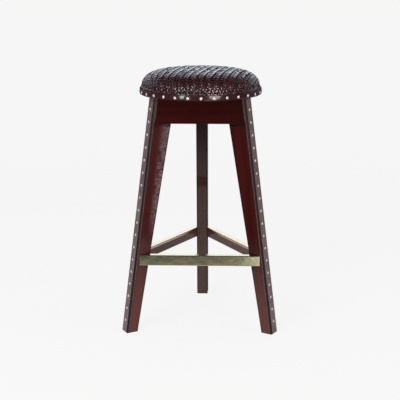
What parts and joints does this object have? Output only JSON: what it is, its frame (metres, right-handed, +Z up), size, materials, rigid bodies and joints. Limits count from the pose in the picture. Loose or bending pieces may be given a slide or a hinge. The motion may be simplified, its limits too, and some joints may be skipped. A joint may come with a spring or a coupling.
{
  "type": "bar stool",
  "caption": "Round bar stool with a woven leather cushion seat, splayed plank legs edged in nailed leather, apron boards and brass-topped foot rails.",
  "frame": {"origin": "the stool's vertical axis, through the middle of the round seat, at the floor", "axes": "+Z up, -Y the front, where the front foot rail faces; one leg stands at the rear on +Y and two at the front"},
  "size_m": [0.4584, 0.4351, 0.762],
  "materials": {
    "lacquered_wood": "glossy dark red-brown lacquer",
    "apron_wood": "glossy very dark red-brown lacquer",
    "rail_wood": "satin red-brown lacquer",
    "plain_wood": "unfinished plywood and softwood",
    "dowel_wood": "unfinished beech",
    "seat_foam": "foam and wadding wrapped in dark cotton",
    "woven_leather": "glossy dark oxblood plaited leather strips",
    "binding_leather": "glossy oxblood leather",
    "leg_leather": "satin purplish grey-brown leather",
    "nail_metal": "pale nickel-plated domes",
    "plate_brass": "polished brass sheet with a slight patina",
    "pin_brass": "plain brass",
    "screw_steel": "zinc-plated steel"
  },
  "bodies": {
    "root": {"seat_board": "plain_wood", "seat_foam": "seat_foam", "woven_cover": "woven_leather", "seat_binding": "binding_leather", "seat_nails": "nail_metal", "leg_front_left": "lacquered_wood", "leg_front_right": "lacquered_wood", "leg_rear": "lacquered_wood", "leg_leather_front_left": "leg_leather", "leg_leather_front_right": "leg_leather", "leg_leather_rear": "leg_leather", "leg_nails_front_left": "nail_metal", "leg_nails_front_right": "nail_metal", "leg_nails_rear": "nail_metal", "apron_front": "apron_wood", "apron_rear_left": "apron_wood", "apron_rear_right": "apron_wood", "foot_rail_front": "rail_wood", "foot_rail_rear_left": "rail_wood", "foot_rail_rear_right": "rail_wood", "foot_plate_front": "plate_brass", "foot_plate_rear_left": "plate_brass", "foot_plate_rear_right": "plate_brass", "foot_plate_pins": "pin_brass", "seat_cleat_front": "plain_wood", "seat_cleat_rear_left": "plain_wood", "seat_cleat_rear_right": "plain_wood", "apron_dowels": "dowel_wood", "foot_rail_dowels": "dowel_wood", "seat_screws": "screw_steel", "cleat_screws": "screw_steel"}
  },
  "joints": []
}
